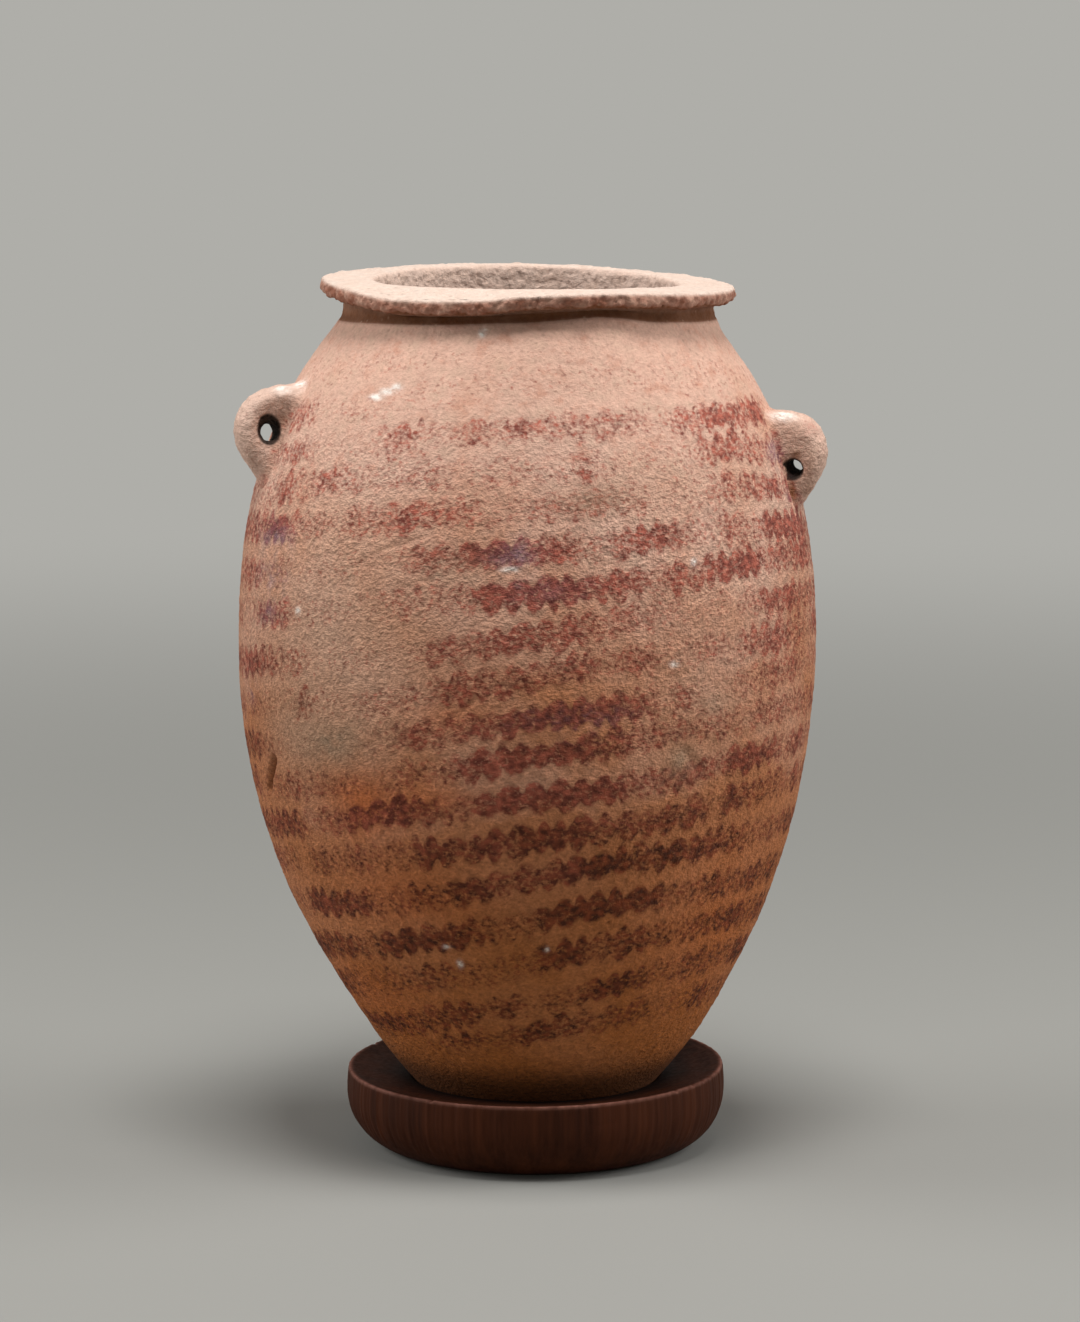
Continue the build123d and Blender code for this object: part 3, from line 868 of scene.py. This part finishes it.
def pierced_lug(
    name, node_name, turn, outline, bore, bore_run, waist, mouth, mouth_shift, dish, pale, smear, salts, dirt
):
    """Ear on the shoulder, from its outline, its hole and the dish pinched round that.

    The outline and the middle of the hole are (out from the axis, height), and bore_run is how the hole
    runs along the ear. Waist and mouth are the hole's half sizes, out and up, in the middle of the ear and
    at its face, where it is shifted. A dish is its middle from the hole's, its half sizes and its depth. Pale
    is how far the ear is whitened, partly as bleaching and partly as painted light, and smear, salts and
    dirt are spots: middle, half sizes and strength, the last ones painted shade.
    """
    out = np.array([cos(radians(turn)), sin(radians(turn))])
    along = np.array([-out[1], out[0]])
    half_width, rounding = 8.0, 5.4
    low = np.array([66.0, -17.0, min(p[1] for p in outline) - 8])
    high = np.array([97.0, 17.0, max(p[1] for p in outline) + 8])

    def worked(u, v, w):
        """Distances in mm from the wall, the ear and its hole, depth into the dish (also its painted shade),
        and place on the wall.
        """
        x = out[0] * u + along[0] * v - np.interp(w, height[:rim_row, 0], lean[:rim_row, 0])
        y = out[1] * u + along[1] * v
        row, column = wall_place(np.arctan2(x, -y), w)
        below = row.astype(int)
        wall_radius = jar_radius[below, column] * (below + 1 - row)
        wall_radius = wall_radius + jar_radius[below + 1, column] * (row - below)
        wall_gap = (np.hypot(x, y) - wall_radius) * 0.93  # straight out from the sloping wall
        flat = outline_gap(outline, u, w) + rounding
        thick = np.abs(v) - half_width + rounding
        past_both = np.hypot(np.maximum(flat, 0), np.maximum(thick, 0))
        ear = np.minimum(np.maximum(flat, thick), 0) + past_both - rounding
        hole_u, hole_w = u - bore[0] - v * bore_run[0], w - bore[1] - v * bore_run[1]
        (dish_u, dish_w), (dish_wide, dish_tall), dish_depth = dish
        from_u, from_w = (hole_u - dish_u) / dish_wide, (hole_w - dish_w) / dish_tall
        dished = np.clip(1 - from_u**2 - from_w**2, 0, 1)
        ear = -soft_least(-ear, half_width - dish_depth * dished - np.abs(v), 1.4)
        flare = np.clip(v / (half_width - dish_depth), -1.1, 1.1) ** 2
        wide = waist[0] + (mouth[0] - waist[0]) * flare
        tall = waist[1] + (mouth[1] - waist[1]) * flare
        hole_u, hole_w = hole_u - mouth_shift[0] * flare, hole_w - mouth_shift[1] * flare
        hole = (np.hypot(hole_u / wide, hole_w / tall) - 1) * np.minimum(wide, tall)
        return wall_gap, ear, hole, dished, below, column

    axes = [np.arange(low[k], high[k], EAR_STEP) for k in range(3)]
    wall_gap, ear, hole, *_ = worked(*np.meshgrid(*axes, indexing="ij"))
    clay = soft_least(ear, wall_gap + 0.35 + 1.5 * ease(ear, 2.5, 8.0), 3.2)
    clay = -soft_least(-clay, hole, 0.9)
    clay = np.maximum(clay, -wall_gap - 4.5)
    clay = np.maximum(clay, ear - 10.0)
    points, faces = surface_of(clay, low, EAR_STEP)
    lug = make_piece(name, np.column_stack([points[:, :2] @ np.array([out, along]), points[:, 2]]), faces)
    wall_gap, ear, hole, dished, row, column = worked(*points.T)
    near_wall = ease(wall_gap, 3.0, 0.6)
    for kind, field in wall_marks.items():
        set_marks(lug, **{kind: field[row, column] if kind == "band" else field[row, column] * near_wall})
    # Painted shade in the dish round the hole, and near-black painted shade going into the hole.
    set_marks(lug, dished=dished * ease(wall_gap, 0.4, 2.0), soiled=ease(hole, 0.8, 0.2))
    # Painted light whitens the ear's face away from the wall, partly as bleaching.
    set_marks(lug, bleached=pale * (1 - near_wall))
    # The last spots are brown painted shade in the creases at the ear's roots and beside its hole.
    for kind, spots in (("red_smear", smear), ("white_salt", salts), ("grimed", dirt)):
        spread_out = [most * np.exp(-(((points - spot) / size) ** 2).sum(1)) for spot, size, most in spots]
        set_marks(lug, **{kind: sum(spread_out)})
    lug.data = roughen(lug, 1.0, 0.0, painted_clay, **clay_skin)
    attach(lug, "jar")
    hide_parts(node_name)


# Stains and spots of painted shade are given in each ear's own directions: out from the axis, along the hole
# and up.
pierced_lug(
    "jar_left_lug", "left_lug", turn=192.0,
    outline=[
        (70, 239.6), (80, 239.4), (84.8, 238.2), (88.6, 236.2), (91.3, 233), (93.0, 229.4), (93.4, 225.6),
        (92.8, 221.2), (91, 217.6), (88.4, 213.8), (85.6, 210.2), (83.6, 207.6), (76, 206),
    ],
    bore=(83.5, 225.2), bore_run=(-0.05, 0.19), waist=(2.7, 2.9), mouth=(3.2, 4.1), mouth_shift=(0.7, 0.4),
    dish=((-2.0, 2.0), (9.0, 10.5), 2.3), pale=0.45,
    smear=[((84.0, 6.0, 209.0), (3.5, 5.0, 3.5), 1.0), ((79.0, 8.0, 218.0), (2.5, 3.0, 3.0), 1.0)],
    salts=[((79.5, 5.0, 239.5), (3.0, 4.0, 1.8), 1.0)],
    dirt=[
        ((84.0, 6.0, 207.6), (2.4, 5.0, 2.2), 1.0), ((80.4, 8.0, 230.0), (1.8, 3.0, 2.4), 1.0),
        ((90.0, 6.0, 214.0), (2.5, 5.0, 4.0), 0.3),
    ],
)
pierced_lug(
    "jar_right_lug", "right_lug", turn=-9.5,
    outline=[
        (70, 231.4), (78.5, 231.2), (82.4, 230.2), (85.4, 228.8), (87.9, 226.2), (89.6, 222.6), (90.3, 219),
        (89.7, 214.6), (88.1, 211.2), (86, 207.6), (83.6, 204.2), (81.4, 201.8), (74, 200.5),
    ],
    bore=(81.7, 215.2), bore_run=(0.05, 0.05), waist=(2.0, 2.3), mouth=(2.7, 2.9), mouth_shift=(-0.5, -0.4),
    dish=((-1.5, 0.5), (3.8, 4.8), 1.2), pale=0.35,
    smear=[((86.8, -6.0, 227.0), (2.4, 4.0, 2.2), 0.6), ((80.0, -7.0, 205.0), (3.0, 4.0, 3.0), 1.0)],
    salts=[((77.5, -5.5, 230.4), (4.0, 4.0, 1.5), 1.0)],
    dirt=[
        ((80.4, -7.0, 207.0), (1.6, 4.0, 4.5), 1.0), ((82.0, -7.0, 219.0), (1.6, 3.0, 1.4), 0.9),
        ((85.6, -7.5, 215.0), (1.5, 3.0, 3.2), 0.4), ((85.6, -5.0, 207.5), (2.4, 5.0, 2.6), 0.5),
    ],
)

# Studio
# A broad pale shelf with no back wall. Far from the jar it fades into the plain grey air behind, so the jar
# can be seen from every side, under a soft lamp overhead, one at each side and a weak one in front.
shelf_reach = 6000.0  # mm from the jar to the shelf's edges
backdrop = linear("#AFAEA9")
corners = shelf_reach * np.array([(-1, -1, 0), (1, -1, 0), (1, 1, 0), (-1, 1, 0)])
floor = make_piece("pale_shelf", corners, np.array([[0, 1, 2, 3]]))


def seen_straight(tree):
    """One where a surface is seen, straight or in a reflection, and nought where it only gives light."""
    path = node(tree, "ShaderNodeLightPath").outputs
    rays = {0: path["Is Camera Ray"], 1: path["Is Glossy Ray"]}
    return node(tree, "ShaderNodeMath", rays, operation="ADD")


paper = bpy.data.materials.new("matt_pale_grey_shelf")
tree = empty_tree(paper)
place = node(tree, "ShaderNodeTexCoord").outputs["Object"]
away = node(tree, "ShaderNodeVectorMath", {0: place}, operation="LENGTH")
fade = node(
    tree, "ShaderNodeMapRange", {"Value": away, "From Min": 0.3, "From Max": 1.5},
    interpolation_type="SMOOTHSTEP",
)
faded = node(tree, "ShaderNodeMath", {0: fade, 1: seen_straight(tree)}, operation="MULTIPLY")
near = node(tree, "ShaderNodeBsdfPrincipled", {"Base Color": linear("#8F8E89"), "Roughness": 0.8})
far = node(tree, "ShaderNodeEmission", {"Color": backdrop})
surface = node(tree, "ShaderNodeMixShader", {0: faded, 1: near, 2: far})
node(tree, "ShaderNodeOutputMaterial", {"Surface": surface})
floor.data.materials.append(paper)

# Each lamp: its watts, its size, its place and the height of the point it is turned to, in metres.
for name, power, size, place, aim_height in (
    ("overhead_lamp", 18.0, 0.5, (0.05, -0.36, 1.46), 0.15),
    ("left_lamp", 11.1, 0.8, (-1.25, 0.05, 0.75), 0.15),
    ("right_lamp", 11.9, 0.8, (1.25, 0.0, 0.75), 0.15),
    ("front_fill", 4.0, 1.2, (-0.3, -1.9, 0.5), 0.14),
):
    lamp = bpy.data.objects.new(name, bpy.data.lights.new(name, "AREA"))
    lamp.data.energy = power
    lamp.data.size = size
    lamp.location = place
    aim = Vector((0, 0, aim_height)) - Vector(place)
    lamp.rotation_euler = aim.to_track_quat("-Z", "Y").to_euler()
    bpy.context.scene.collection.objects.link(lamp)
world = bpy.data.worlds.new("studio_air")
tree = empty_tree(world)
given_off = node(tree, "ShaderNodeBackground", {"Color": linear("#D8D8D4"), "Strength": 0.13})
shown = node(tree, "ShaderNodeBackground", {"Color": backdrop})
surface = node(tree, "ShaderNodeMixShader", {0: seen_straight(tree), 1: given_off, 2: shown})
node(tree, "ShaderNodeOutputWorld", {"Surface": surface})
bpy.context.scene.world = world
bpy.context.scene.view_settings.view_transform = "Standard"

# Camera
# It stands 1.6 m away and looks a little down on the jar, through a long lens.
camera = bpy.data.objects.new("camera", bpy.data.cameras.new("camera"))
camera.data.lens = 142.1
camera.location = (0.0014, -1.6, 0.402)
camera.rotation_euler = (Vector((0.0014, 0, 0.152)) - camera.location).to_track_quat("-Z", "Y").to_euler()
bpy.context.scene.collection.objects.link(camera)
bpy.context.scene.camera = camera
